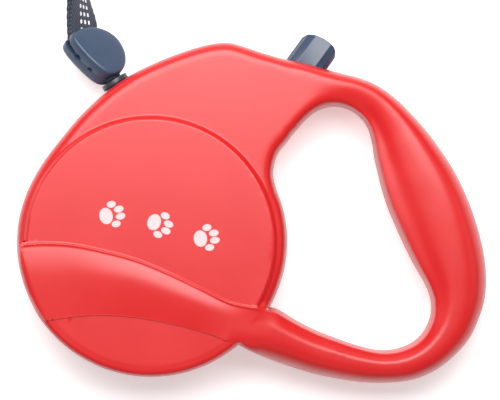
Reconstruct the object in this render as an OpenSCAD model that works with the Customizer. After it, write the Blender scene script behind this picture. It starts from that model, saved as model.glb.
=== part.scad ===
// Retractable leash lying flat on its rear shell.
// Origin: the reel axis on the resting plane. +X runs to the hand grip, +Z up to the front shell.

/* [Housing] */
// total thickness over the two round panels
case_t = 32; // [31.6:0.2:32.8]
// radius of the raised round panel
panel_r = 43.7; // [43:0.1:44]
// how far the ridge band stands above the parting plane on the front
front_crest = 17.4; // [16.6:0.2:18]
// wall thickness of the shells
wall = 2.2; // [2:0.1:2.6]

/* [Reel] */
// radius of the ratchet rim
rim_r = 41; // [40:0.5:41.5]
// number of ratchet teeth
teeth = 16; // [14:1:18]
// outer radius of the wound cord
winding_r = 32.6; // [30:0.2:33]
// radius of the fixed axle
axle_r = 3; // [2.5:0.1:3.2]

/* [Cord] */
// cord diameter
cord_d = 2.5; // [2:0.1:2.8]

/* [Brake] */
// width of the thumb button
button_w = 13.4; // [12.6:0.2:13.8]
// thickness of the thumb button
button_t = 11; // [10:0.5:12]

/* [Lead] */
// width of the stopper block
block_w = 16; // [15.4:0.2:16.4]
// thickness of the stopper block
block_t = 9.4; // [9:0.2:10]
// width of the strap
strap_w = 12; // [11:0.5:12.4]
// thickness of the doubled strap
strap_t = 3; // [2.6:0.1:3.2]

/* [Hidden] */
$fn = 64;
red = [0.85, 0.08, 0.08];
dark = [0.11, 0.14, 0.2];
steel = [0.75, 0.76, 0.78];
parting_z = case_t / 2;
// gap between pieces that move past one another
gap = 0.3;
// radial clearance of a running fit
run = 0.05;

// outline of the reel case, counter-clockwise from the grip opening
case_pts = [[47.3, 0], [46.9, 6.5], [45.6, 12.8], [43.6, 18.8], [42.6, 24], [44, 30], [49, 37.5],
  [54, 44.5], [56.5, 52], [55, 61.6], [50, 63], [44, 64.4], [38, 66.2], [32, 68.2], [27, 69.4],
  [22, 69.2], [16, 67.9], [8, 65.2], [0, 61.9], [-6, 58.9], [-12, 55.1], [-18.5, 50], [-25.2, 43.6],
  [-30.9, 36.8], [-36.2, 30], [-40.4, 23.4], [-43.9, 16], [-46.1, 8], [-46.8, 0], [-46.1, -8],
  [-43.9, -16], [-40.5, -23.5], [-35.9, -30], [-30.1, -35.9], [-23.4, -40.5], [-16, -44],
  [-8, -46.2], [0, -46.9], [8, -46.2], [16, -44], [23.5, -40.6], [30.2, -35.9], [36, -30.2],
  [40.7, -23.6], [44.2, -16.2], [46.6, -8]];
// edge rounding of the reel case: inset from the outline and height above the parting plane
case_edge = [[0.9, -2], [0, 0], [0.2, 6], [0.8, 9.4], [1.8, 11.8], [3.2, 13.3], [5.6, 14.1], [9, 14.4]];
case_h = 14.4;

// stations of the grip loop and the ridge band: edge at the opening, outer edge, crest height,
// inner height, and how much the section falls towards its edges
loop_pts = [
  [[45.8, 34.6], [39, 62], 13.8, 11, 1], [[49.5, 38.2], [46.5, 63.2], 13.7, 11.2, 1],
  [[54.5, 43.6], [53.5, 62], 13.6, 11.2, 1], [[59, 46.4], [60, 60.4], 13.2, 10.9, 1],
  [[64, 47.4], [66, 58.9], 12.8, 10.5, 1], [[69, 46.2], [72.5, 57.3], 12.5, 10.2, 1],
  [[73, 43.4], [79, 54.6], 12.3, 10, 1], [[75.6, 39.6], [85.4, 50], 12.2, 9.9, 1],
  [[77, 34.5], [91.7, 43.8], 12.2, 9.9, 1], [[77.8, 29], [96.6, 38.2], 12.4, 10.1, 1],
  [[79, 23.8], [101, 32.2], 12.6, 10.3, 1], [[80.4, 18.2], [105.2, 25.8], 12.8, 10.5, 1],
  [[82.4, 12], [108.8, 18.8], 13, 10.7, 1], [[84.8, 6.2], [112, 11], 13, 10.7, 1],
  [[87.4, 0.4], [114.6, 2.6], 12.9, 10.6, 1], [[90.2, -5.4], [116.4, -6], 12.8, 10.5, 1],
  [[93, -10.4], [117, -13.6], 12.7, 10.4, 1], [[95.8, -15.4], [116.2, -20.6], 12.6, 10.3, 1],
  [[97.5, -20.6], [114.2, -27], 12.5, 10.2, 1], [[97.4, -26], [111, -33.6], 12.4, 10.1, 1],
  [[95, -31.4], [106, -39.4], 12.4, 10.1, 1], [[91, -35.2], [99.4, -44.6], 12.5, 10.2, 1],
  [[85.4, -37.4], [91.6, -48], 12.6, 10.3, 1], [[79.2, -37.8], [82.4, -49.3], 12.8, 10.5, 1],
  [[72, -36.2], [73.4, -49], 13, 10.7, 1], [[64.4, -33.6], [64.4, -47.7], 13.2, 10.9, 1],
  [[56.8, -30.6], [55.6, -45.8], 13.6, 11.2, 1], [[49.8, -27], [47.4, -43.2], 14.2, 11.6, 1],
  [[43.4, -23.4], [40, -40.4], 15, 12, 0.75], [[36.2, -22], [33.2, -37.4], 15.8, 12, 0.5],
  [[27.5, -20.2], [25.4, -33.2], 16.6, 12, 0.32], [[17, -15.2], [15.4, -29.7], 17.2, 12, 0.26],
  [[6.6, -10.2], [3, -26.7], 17.4, 12, 0.24], [[-4.6, -5.6], [-7.4, -25.1], 17.4, 12, 0.24],
  [[-16, -2.5], [-16.6, -24.5], 17.3, 12, 0.24], [[-27, -0.3], [-25.4, -24.9], 17, 12, 0.26],
  [[-36.6, 0.2], [-32.6, -25.9], 16.8, 11.8, 0.28], [[-42.8, -0.2], [-36.8, -26.5], 15, 11.4, 0.5],
  [[-45.8, -0.8], [-38.4, -26.2], 9.4, 8.6, 1]];
// cross-section of the loop: fraction of the width from the opening, fraction of the crest height
loop_sec = [[0, -1], [0, 0], [0.04, 0.4], [0.11, 0.76], [0.24, 0.9], [0.42, 0.99], [0.62, 0.98],
  [0.82, 0.84], [0.95, 0.5], [1, 0], [1, -1]];
// how far the half solids run past the parting plane before they are cut there
overrun = 2;

// point of a Catmull-Rom curve between b and c
function curve(a, b, c, d, t) =
  b + (c - a) * t / 2 + (2 * a - 5 * b + 4 * c - d) * t * t / 2 + (3 * b - a - 3 * c + d) * t * t * t / 2;
function closed_curve(p, n) = [for (i = [0 : len(p) - 1]) for (k = [0 : n - 1])
  curve(p[(i + len(p) - 1) % len(p)], p[i], p[(i + 1) % len(p)], p[(i + 2) % len(p)], k / n)];
function open_curve(p, n) = concat([for (i = [0 : len(p) - 2]) for (k = [0 : n - 1])
  curve(p[max(i - 1, 0)], p[i], p[i + 1], p[min(i + 2, len(p) - 1)], k / n)], [p[len(p) - 1]]);
function inset_r(p, d) = p * (norm(p) - d) / norm(p);

case_line = closed_curve(case_pts, 2);

// triangles that join rings of m points each, with fans to a start and an end centre point
function ring_faces(rings, m) = concat(
  [for (i = [0 : rings - 2]) for (k = [0 : m - 1]) [i * m + k, i * m + (k + 1) % m, (i + 1) * m + k]],
  [for (i = [0 : rings - 2]) for (k = [0 : m - 1])
    [i * m + (k + 1) % m, (i + 1) * m + (k + 1) % m, (i + 1) * m + k]],
  [for (k = [0 : m - 1]) [rings * m, (k + 1) % m, k]],
  [for (k = [0 : m - 1]) [rings * m + 1, (rings - 1) * m + k, (rings - 1) * m + (k + 1) % m]]);

// one half of the reel case, standing on the parting plane
module case_half() {
  m = len(case_line);
  pts = [for (e = case_edge) for (p = case_line) let (q = inset_r(p, e[0])) [q.x, q.y, e[1]]];
  ends = [[0, 0, -2], [0, 0, case_h]];
  polyhedron(points = concat(pts, ends), faces = [for (f = ring_faces(len(case_edge), m)) [f[2], f[1], f[0]]]);
}

// one line of the loop's half section between two edge points; a fraction of -1 is the overrun
function sec_line(p, q, h, fall) = [for (c = loop_sec) let (v = p + (q - p) * c[0])
  [v.x, v.y, c[1] < 0 ? -overrun : h * (1 - (1 - c[1]) * fall)]];
// closed ring of the loop's half section at one station: the outer line, then the inner one back
function loop_ring(s, cap) =
  let (p = s[0], q = s[1], u = (q - p) / norm(q - p) * wall)
  let (outer = sec_line(p, q, min(s[2], cap), s[4]))
  let (inner = sec_line(p + u, q - u, min(s[3], cap - wall), s[4]))
  concat(outer, [for (k = [len(inner) - 1 : -1 : 0]) inner[k]]);

// one half of the grip loop with the ridge band: a channel that is open at the parting plane
module loop_half(cap) {
  rings = [for (s = loop_pts) loop_ring(s, cap)];
  m = len(rings[0]);
  n = len(rings);
  last = (n - 1) * m;
  side = [for (f = ring_faces(n, m)) if (max(f) < n * m) f];
  caps = [for (k = [0 : len(loop_sec) - 2]) each [
    [k, m - 1 - k, k + 1], [k + 1, m - 1 - k, m - 2 - k],
    [last + k + 1, last + m - 1 - k, last + k], [last + m - 2 - k, last + m - 1 - k, last + k + 1]]];
  polyhedron(points = [for (r = rings) each r], faces = concat(side, caps));
}

// hollow of the reel case in half coordinates, and the pocket beside the reel
cavity_r = 44.3;
plate_in = case_h - wall;
pocket_h = 11;
pocket_pts = [[36, 20], [41, 27], [42.5, 33], [47.5, 41], [52, 48], [53, 58.5], [48, 60.8], [37, 63.4],
  [26.5, 66.5], [17, 65.2], [8, 62.4], [0, 59], [-6, 56], [-12, 52], [-18, 47], [-24, 41],
  [-29, 34.5], [-33.5, 28], [0, 0]];
// screw positions
screw_pts = [[12, 57.5], [80.5, 44.8], [105, -12], [64.4, -40.7], [41.5, -32.5]];
screw_seat = 8;
screw_r = 1.4;
head_r = 2.6;

// cord exit: point where its axis crosses the outline, and its direction
exit_pt = [-12.6, 55.4];
exit_dir = 122;
bush_r = 4;
flange_r = 4.9;

// button frame: its axis passes at this distance from the reel axis
press_dir = 54;
press_off = 7.2;
press_travel = 4;

// reel levels
reel_z = 8.5;
rim_t = 2.5;
core_r = 21.5;
drum_z = reel_z + rim_t;
front_z = 21;
front_t = 2;
front_r = 40;
boss_r = 6;

// frames
module at_exit(s) {
  translate([exit_pt.x, exit_pt.y, parting_z]) rotate([0, 0, exit_dir]) translate([s, 0, 0]) children();
}
module at_press() {
  rotate([0, 0, press_dir]) translate([0, -press_off, parting_z]) children();
}
module rod_x(r, x0, x1) {
  translate([x0, 0, 0]) rotate([0, 90, 0]) cylinder(r = r, h = x1 - x0);
}
module box(x0, x1, y0, y1, z0, z1) {
  translate([x0, y0, z0]) cube([x1 - x0, y1 - y0, z1 - z0]);
}

// outer form of one half, standing on the parting plane: case, loop with its band, and round panel
module half_form(crest) {
  case_half();
  loop_half(crest);
  rotate_extrude() polygon([[0, 8], [panel_r - 0.6, 8], [panel_r - 0.6, case_h - 0.9], [panel_r, case_h - 0.4],
    [panel_r, parting_z - 0.8], [panel_r - 0.8, parting_z], [0, parting_z]]);
}

// one half shell in half coordinates, before its own holes; boss is the screw boss radius
module half_shell(crest, boss) {
  difference() {
    union() {
      difference() {
        half_form(crest);
        rotate_extrude() polygon([[0, -3], [cavity_r, -3], [cavity_r, 11], [41.9, plate_in],
          [40.5, 13.8], [0, 13.8]]);
        translate([0, 0, -3]) linear_extrude(pocket_h + 3) polygon(pocket_pts);
      }
      for (p = screw_pts) translate([p.x, p.y, -1]) cylinder(r = boss, h = 12.4);
      translate([0, 0, parting_z - reel_z + gap]) cylinder(r = boss_r, h = reel_z - 1.5);
      // collar that holds the cord bush
      translate([0, 0, -parting_z]) at_exit(0) rod_x(5.6, -5.4, -1.2);
    }
    translate([0, 0, -parting_z]) {
      at_exit(0) rod_x(bush_r, -8, 4);
      at_exit(0) rod_x(flange_r + 0.1, -0.4, 4);
      // opening for the button, and the wider room for its retaining lip
      at_press() box(66, 98, -button_w / 2 - gap, button_w / 2 + gap, -button_t / 2 - gap, button_t / 2 + gap);
      at_press() box(66, 77.5, -9, 9, -6.3, 6.3);
    }
    // cut at the parting plane
    box(-60, 130, -60, 80, -10, 0);
  }
}

module front_shell() {
  color(red) translate([0, 0, parting_z]) difference() {
    half_shell(front_crest, 3.2);
    for (p = screw_pts) translate([p.x, p.y, -1]) cylinder(r = screw_r + run, h = 10);
    cylinder(r = axle_r + run / 2, h = 12.6);
  }
}

module rear_shell() {
  color(red) {
    difference() {
      translate([0, 0, parting_z]) mirror([0, 0, 1]) half_shell(parting_z - gap, 4.2);
      for (p = screw_pts) {
        translate([p.x, p.y, 0]) cylinder(r = screw_r + 0.2, h = parting_z + 1);
        translate([p.x, p.y, -1]) cylinder(r = head_r + gap, h = screw_seat + 1);
      }
      translate([0, 0, parting_z - 12.6]) cylinder(r = axle_r + run / 2, h = 12.6);
    }
    // rails beside the slider, and the seat of the brake spring
    at_press() for (y = [-5.8, 4.4]) box(50, 63, y, y + 1.4, -pocket_h - 0.5, -4);
    at_press() box(56, 58, -5, 5, -pocket_h - 0.5, -7.4);
    at_press() for (y = [-5.8, 4.4]) box(56, 58, y, y + 1.4, -4.2, -1);
    at_press() box(56, 58, -5.8, 5.8, -3.2, -0.4);
  }
}

module housing_screws() {
  color(steel) for (p = screw_pts) translate([p.x, p.y, 0]) difference() {
    union() {
      translate([0, 0, screw_seat - 1.8]) cylinder(r = head_r, h = 1.8);
      translate([0, 0, screw_seat]) cylinder(r = screw_r, h = 16);
    }
    box(-1.6, 1.6, -0.35, 0.35, 5, 7.2);
    box(-0.35, 0.35, -1.6, 1.6, 5, 7.2);
  }
}

module nozzle_ring() {
  color(dark) at_exit(0) difference() {
    union() {
      rod_x(bush_r, -6.4, 0);
      rod_x(flange_r, -0.3, 1.5);
    }
    rod_x(1.9, -8, 4);
    translate([-6.5, 0, 0]) rotate([0, 90, 0]) cylinder(r1 = 3.2, r2 = 1.9, h = 1.6);
    translate([0.2, 0, 0]) rotate([0, 90, 0]) cylinder(r1 = 1.9, r2 = 3.1, h = 1.4);
  }
}

module reel_axle() {
  color(steel) difference() {
    translate([0, 0, 3.6]) cylinder(r = axle_r, h = 24.8);
    // slot for the spring's inner end
    box(-0.5, 0.5, -5, 5, 12, 19.6);
  }
}

module reel_drum() {
  color(dark) difference() {
    union() {
      translate([0, 0, reel_z]) cylinder(r = rim_r, h = rim_t);
      translate([0, 0, drum_z]) difference() {
        cylinder(r = core_r, h = front_z - drum_z);
        translate([0, 0, -1]) cylinder(r = core_r - 1.7, h = 12);
      }
    }
    translate([0, 0, reel_z - 1]) cylinder(r = axle_r + run, h = rim_t + 2);
    // tooth gaps; one of them faces the pawl
    for (k = [0 : teeth - 1]) rotate([0, 0, 43.6 + 360 * k / teeth]) translate([0, 0, reel_z - 1])
      linear_extrude(rim_t + 2) polygon([[37.4, -3.9], [44, -5.8], [44, 5.8], [37.4, 3.9]]);
  }
}

module reel_flange() {
  color(dark) translate([0, 0, front_z]) difference() {
    cylinder(r = front_r, h = front_t);
    translate([0, 0, -1]) cylinder(r = core_r - 1.7, h = front_t + 2);
    for (k = [0 : 5]) rotate([0, 0, 60 * k]) translate([31, 0, -1]) cylinder(r = 4, h = front_t + 2);
  }
}

module spring_cover() {
  color(dark) difference() {
    union() {
      translate([0, 0, 20.2]) cylinder(r = core_r - 1.75, h = 1.6);
      translate([0, 0, 21.8]) cylinder(r = 5, h = 1.2);
    }
    translate([0, 0, 19]) cylinder(r = axle_r + run, h = 5);
  }
}

// flat spiral strip
spiral_turns = 9;
spiral_step = 15;
strip_t = 0.4;
function spiral_r(a) = 4.4 + a * 14.4 / (360 * spiral_turns);
module power_spring() {
  last = 360 * spiral_turns;
  outer = [for (a = [0 : spiral_step : last]) (spiral_r(a) + strip_t / 2) * [cos(a), sin(a)]];
  inner = [for (a = [last : -spiral_step : 0]) (spiral_r(a) - strip_t / 2) * [cos(a), sin(a)]];
  color(steel) translate([0, 0, 11.6]) linear_extrude(8) polygon(concat(outer, inner));
}

// wound cord: a ring whose outer side shows its turns
module cord_winding() {
  turn = 2.36;
  z0 = drum_z + 0.2;
  bumps = [for (k = [0 : 3]) each [
    [winding_r - 0.6, z0 + turn * k + 0.02], [winding_r - 0.1, z0 + turn * (k + 0.25)],
    [winding_r, z0 + turn * (k + 0.5)], [winding_r - 0.1, z0 + turn * (k + 0.75)]]];
  color(dark) rotate_extrude() polygon(concat([[core_r + 0.1, z0]], bumps,
    [[winding_r - 0.6, z0 + 4 * turn], [core_r + 0.1, z0 + 4 * turn]]));
}

// round section of sides points swept along a route; up is any direction that the route never takes
function unit(v) = v / norm(v);
function tangent(p, i) = unit(p[min(i + 1, len(p) - 1)] - p[max(i - 1, 0)]);
function round_rings(p, r, sides, up) = [for (i = [0 : len(p) - 1])
  let (t = tangent(p, i), u = unit(cross(up, t)), v = cross(t, u))
  for (k = [0 : sides - 1]) p[i] + r * (cos(360 * k / sides) * u + sin(360 * k / sides) * v)];
module swept_round(p, r, sides, up) {
  polyhedron(points = concat(round_rings(p, r, sides, up), [p[0], p[len(p) - 1]]),
    faces = [for (f = ring_faces(len(p), sides)) [f[2], f[1], f[0]]]);
}

// route of the cord from the reel through the bush to its knot
cord_pts = [[20.2, 27.6, 16], [13, 32.9, 16], [5.8, 38.2, 16], [-1.5, 43.5, 16], [-6, 47, 16], [-8.8, 49.7, 16],
  [-10.8, 52.5, 16], [-12.3, 54.9, 16], [-13.7, 57.1, 16], [-14.9, 59.1, 16], [-16, 61.1, 16]];
module cord_lead() {
  color(dark) swept_round(open_curve(cord_pts, 2), cord_d / 2, 8, [0, 0, 1]);
}

// thumb button: an extruded outline limited by a barrel-like cross-section
module brake_button() {
  hw = button_w / 2;
  ht = button_t / 2;
  color(dark) at_press() {
    intersection() {
      translate([0, 0, -8]) linear_extrude(16) polygon([
        [74, hw], [88.8, hw], [90.6, 5.8], [91.9, 3.4], [92.6, 0.6],
        [92.7, -2.2], [92.3, -4.4], [91.2, -5.8], [89.6, -hw], [74, -hw]]);
      rotate([90, 0, 90]) linear_extrude(100) polygon([[hw, -ht * 0.5], [hw, ht * 0.5], [5.4, ht * 0.84],
        [3, ht], [-3, ht], [-5.4, ht * 0.84], [-hw, ht * 0.5], [-hw, -ht * 0.5], [-5.4, -ht * 0.84],
        [-3, -ht], [3, -ht], [5.4, -ht * 0.84]]);
    }
    box(72.5, 75, -8.4, 8.4, -5, 5);
  }
}

// bar from the button to the ratchet, with a raised end behind the button and a narrow pawl
module brake_slider() {
  color(steel) at_press() {
    box(46, 72.5, -4, 4, -7, -4.4);
    box(42.4, 46.1, -2.5, 2.5, -7.4, -5.2);
    box(67.5, 72.5, -4, 4, -4.5, 4);
  }
}

// helix of wire along +X
function helix(r, turns, x0, x1) = [for (i = [0 : 12 * turns]) let (a = 30 * i)
  [x0 + (x1 - x0) * i / (12 * turns), r * cos(a), r * sin(a)]];
module coil(r, wire, turns, x0, x1) {
  p = helix(r, turns, x0, x1);
  ring = [for (i = [0 : len(p) - 1]) let (t = tangent(p, i), u = unit([0, p[i].y, p[i].z]), v = cross(t, u))
    for (k = [0 : 5]) p[i] + wire * (cos(60 * k) * u + sin(60 * k) * v)];
  polyhedron(points = concat(ring, [p[0], p[len(p) - 1]]),
    faces = [for (f = ring_faces(len(p), 6)) [f[2], f[1], f[0]]]);
}

module brake_spring() {
  color(steel) at_press() coil(1.8, 0.25, 6, 58.35, 67.2);
}

// stopper block frame: X along the block away from the housing, Z out of its front face
block_pt = [-19.8, 65.2, 16];
block_dir = 134;
block_roll = 43;
module at_block() {
  translate(block_pt) rotate([0, 0, block_dir]) rotate([block_roll, 0, 0]) children();
}
block_line = [[-10.4, -0.8], [-10.1, 1.6], [-9, 4.1], [-7, 5.6], [-3.2, 6.5], [2, 6.7], [7, 6.3], [9.8, 5.3],
  [10.8, 3.2], [10.1, -0.8], [8.4, -4.6], [5.6, -7.6], [2.2, -9.4], [-1.6, -9.7], [-6, -8], [-9.2, -4.6]];
// cross pin of the block: place along the block and radius
pin_x = 3.5;
pin_r = 1.2;
// edge of a half block: inset and fraction of the half thickness
block_edge = [[0, 0], [0, 0.6], [0.3, 0.84], [1.1, 0.95], [2.6, 0.98]];
module block_half(side) {
  line = [for (p = closed_curve(block_line, 2)) [p.x, p.y * block_w / 16]];
  m = len(line);
  h = block_t / 2;
  pts = [for (e = block_edge) for (p = line) let (q = inset_r(p, e[0])) [q.x, q.y, h * e[1]]];
  difference() {
    mirror([0, 0, side]) polyhedron(points = concat(pts, [[0, 0, 0], [0, 0, h]]),
      faces = [for (f = ring_faces(len(block_edge), m)) f]);
    // mouth for the strap and its opening on the side
    box(1.5, 12, -8, 4.6, -1.9, 1.9);
    box(5.6, 12, 4, 8, -1.2, 1.2);
    // chamber of the knot and cord hole
    rod_x(3.2, -6.5, 1.6);
    rod_x(2.2, -12, -6);
    // pin hole and dimple
    translate([pin_x, 8, 0]) rotate([90, 0, 0]) cylinder(r = pin_r + run, h = 10.8);
    translate([-2.5, 8, 0]) rotate([90, 0, 0]) cylinder(r = 0.9, h = 2.5);
  }
}

// room that is cut in the block for the bumper, and for the strap where it turns out of the mouth
module lead_room() {
  at_exit(0) rod_x(3.1, 0, 4.4);
  translate([-24.3, 70.3, 14.9]) rotate([0, 0, 96]) rotate([41, 0, 0]) box(-1, 9, -6.4, 6.4, -1.9, 1.9);
}
module stopper_front() {
  color(dark) difference() {
    at_block() block_half(0);
    lead_room();
  }
}
module stopper_back() {
  color(dark) difference() {
    at_block() block_half(1);
    lead_room();
  }
}
module stopper_pin() {
  color(steel) at_block() translate([pin_x, 4.6, 0]) rotate([90, 0, 0]) cylinder(r = pin_r, h = 7.2);
}
module cord_knot() {
  color(dark) at_block() translate([-2.6, 0, 0]) rotate_extrude() polygon([[0, -2.4], [1.6, -2.1], [2.6, -1.1],
    [2.9, 0], [2.6, 1.1], [1.6, 2.1], [0, 2.4]]);
}
module stopper_bumper() {
  color(dark) at_exit(0) difference() {
    rod_x(3, 1.8, 4.3);
    rod_x(1.7, 0, 6);
  }
}

// route of the strap: position, and the tilt of its width from the horizontal
strap_pts = [[-24.3, 70.3, 14.9, 41], [-24.4, 73, 14.9, 40], [-24.7, 77, 14.8, 43], [-25.5, 83, 14.2, 58],
  [-26.1, 90, 12.8, 74], [-25.9, 97, 10.6, 96], [-24.8, 104, 8, 122], [-22, 111.5, 4.9, 150],
  [-17.4, 118.2, 2.6, 170], [-11, 123.6, 1.8, 180], [-3, 127.4, 1.7, 180], [6, 129.2, 1.7, 180],
  [16, 129.5, 1.8, 180], [25, 129.5, 2.8, 180], [33, 129.5, 4.2, 180]];
// rounded flat section, as fractions of the half width and half thickness
strap_sec = [[1, 0.35], [0.88, 1], [-0.88, 1], [-1, 0.35], [-1, -0.35], [-0.88, -1], [0.88, -1], [1, -0.35]];
module strap() {
  st = open_curve(strap_pts, 3);
  p = [for (s = st) [s[0], s[1], s[2]]];
  ring = [for (i = [0 : len(p) - 1])
    let (t = tangent(p, i), h = unit(cross(t, [0, 0, 1])), u = cross(h, t), a = st[i][3])
    let (w = cos(a) * h - sin(a) * u, n = cross(w, t))
    for (c = strap_sec) p[i] + c[0] * strap_w / 2 * w + c[1] * strap_t / 2 * n];
  color(dark) polyhedron(points = concat(ring, [p[0], p[len(p) - 1]]),
    faces = ring_faces(len(p), len(strap_sec)));
}

// hook frame: X along the hook, the stem's axis on Y = 0 and Z = 0
hook_y = 129.5;
hook_z = 4.3;
eye_x = 36;
eye_r = 7.6;
wire_r = 1.4;
stem_r = 1.9;
bow_r = 7;
bow_x = 92;
hook_r = 2.2;
bolt_r = 2;
module at_hook(x) {
  translate([x, hook_y, hook_z]) children();
}
module arc_rod(ring_r, r, from, angle) {
  rotate([0, 0, from]) rotate_extrude(angle = angle) translate([ring_r, 0]) circle(r = r);
}
module rod_y(r, y0, y1) {
  translate([0, y0, 0]) rotate([-90, 0, 0]) cylinder(r = r, h = y1 - y0);
}

module strap_loop() {
  color(dark) at_hook(eye_x) difference() {
    rod_y(3, -6, 6);
    rod_y(wire_r + run, -7, 7);
  }
}
module swivel_eye() {
  color(steel) {
    at_hook(eye_x) {
      rod_y(wire_r, -eye_r, eye_r);
      for (y = [-eye_r, eye_r]) translate([0, y, 0]) {
        sphere(r = wire_r);
        rod_x(wire_r, 0, 4);
      }
      translate([4, 0, 0]) arc_rod(eye_r, wire_r, -90, 180);
    }
    at_hook(0) {
      rod_x(stem_r, eye_x + 4 + eye_r, 57.5);
      rod_x(2.9, 56.8, 58.6);
    }
  }
}

module hook_body() {
  color(steel) difference() {
    union() {
      at_hook(0) rod_x(4.1, 49.6, 61);
      at_hook(0) rod_x(3.4, 60, 80);
      at_hook(65) rod_y(hook_r, -bow_r, 0);
      at_hook(65 + bow_r) translate([0, -bow_r, 0]) arc_rod(bow_r, hook_r, 180, 90);
      at_hook(0) translate([0, -2 * bow_r, 0]) rod_x(hook_r, 65 + bow_r, bow_x);
      at_hook(bow_x) translate([0, -bow_r, 0]) arc_rod(bow_r, hook_r, -90, 180);
      at_hook(0) rod_x(hook_r, bow_x - 2, bow_x);
    }
    at_hook(0) {
      rod_x(stem_r + run, 49, 57);
      rod_x(3.2, 56.5, 59.5);
      rod_x(bolt_r + run, 61.4, 81);
      box(66.4, 77.6, -1.5, 1.5, 0, 5);
    }
  }
}
module hook_bolt() {
  color(steel) at_hook(0) difference() {
    union() {
      rod_x(bolt_r, 74, 88.6);
      translate([88.6, 0, 0]) rotate([0, 90, 0]) cylinder(r1 = bolt_r, r2 = 1.4, h = 1.1);
    }
    translate([76, 0, 0]) cylinder(r = 1.2, h = 3);
  }
}
module hook_knob() {
  color(steel) at_hook(76) {
    cylinder(r = 1.15, h = 4.6);
    translate([0, 0, 4.2]) cylinder(r = 2.7, h = 1.6);
  }
}
module hook_spring() {
  color(steel) at_hook(0) coil(1.45, 0.25, 7, 61.8, 73.6);
}

front_shell();
rear_shell();
housing_screws();
nozzle_ring();
reel_axle();
reel_drum();
reel_flange();
spring_cover();
power_spring();
cord_winding();
cord_lead();
brake_button();
brake_slider();
brake_spring();
stopper_bumper();
stopper_front();
stopper_back();
stopper_pin();
cord_knot();
strap();
strap_loop();
swivel_eye();
hook_body();
hook_bolt();
hook_knob();
hook_spring();
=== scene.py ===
import math

import bmesh
import bpy
import numpy as np
from mathutils import Matrix, Vector, kdtree
from mathutils.geometry import delaunay_2d_cdt


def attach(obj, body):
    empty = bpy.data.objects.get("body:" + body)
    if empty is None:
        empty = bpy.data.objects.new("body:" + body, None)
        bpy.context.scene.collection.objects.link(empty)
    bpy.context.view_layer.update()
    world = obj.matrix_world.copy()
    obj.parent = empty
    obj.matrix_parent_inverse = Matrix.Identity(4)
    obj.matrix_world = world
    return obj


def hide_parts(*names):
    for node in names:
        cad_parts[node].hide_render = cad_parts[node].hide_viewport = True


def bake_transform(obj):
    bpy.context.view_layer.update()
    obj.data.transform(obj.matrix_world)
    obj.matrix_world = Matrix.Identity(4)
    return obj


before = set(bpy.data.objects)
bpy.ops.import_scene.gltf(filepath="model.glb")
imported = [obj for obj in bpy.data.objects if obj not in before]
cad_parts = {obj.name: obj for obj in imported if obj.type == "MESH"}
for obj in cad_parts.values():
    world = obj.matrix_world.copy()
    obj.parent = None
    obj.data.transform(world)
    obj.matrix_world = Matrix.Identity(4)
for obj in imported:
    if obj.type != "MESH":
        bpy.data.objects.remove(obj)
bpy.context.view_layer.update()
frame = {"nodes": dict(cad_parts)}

MM = 0.001
scene = bpy.context.scene


# ---------------------------------------------------------------- camera and lights
def look_at(obj, target):
    """Turns a light so that it points at the target."""
    obj.rotation_euler = (Vector(target) - obj.location).to_track_quat("-Z", "Y").to_euler()


cam_data = bpy.data.cameras.new("camera")
cam = bpy.data.objects.new("camera", cam_data)
scene.collection.objects.link(cam)
# straight down on the front shell; VIEW_WIDTH is what the camera takes in at the height VIEW_Z
CAM, SENSOR, VIEW_WIDTH, VIEW_Z = (0.0343, 0.0147, 0.95), 36, 0.175, 0.016
cam.location = CAM
cam.rotation_euler = (0, 0, 0)
cam_data.sensor_width = SENSOR
cam_data.lens = SENSOR * (CAM[2] - VIEW_Z) / VIEW_WIDTH
cam_data.clip_start, cam_data.clip_end = 0.01, 20
scene.camera = cam


def area_light(name, pos, target, size, power):
    """A rectangular softbox; size is its width and height."""
    data = bpy.data.lights.new(name, "AREA")
    data.energy = power
    data.shape = "RECTANGLE"
    data.size, data.size_y = size
    obj = bpy.data.objects.new(name, data)
    scene.collection.objects.link(obj)
    obj.location = pos
    look_at(obj, target)
    return obj


key = area_light("light_key", (0.02, 0.24, 0.55), (0.02, 0.12, 0.0), (0.5, 0.34), 5.1)
key.visible_camera = False
area_light("light_top", (0.05, 0.85, 0.3), (0.03, 0.0, 0.01), (0.8, 0.3), 1.2)
area_light("light_left", (-0.8, 0.1, 0.4), (0.03, 0.0, 0.0), (0.5, 0.4), 0.6)
area_light("light_right", (0.85, 0.1, 0.5), (0.03, 0.0, 0.0), (0.5, 0.4), 0.5)
area_light("light_front", (0.05, -0.8, 0.7), (0.03, 0.0, 0.0), (0.6, 0.4), 0.3)

world = bpy.data.worlds.new("studio")
scene.world = world
world.use_nodes = True
sky = world.node_tree.nodes["Background"].inputs
sky["Color"].default_value = (1, 1, 1, 1)
sky["Strength"].default_value = 0.22
scene.view_settings.view_transform = "Standard"
scene.view_settings.look = "None"


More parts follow.
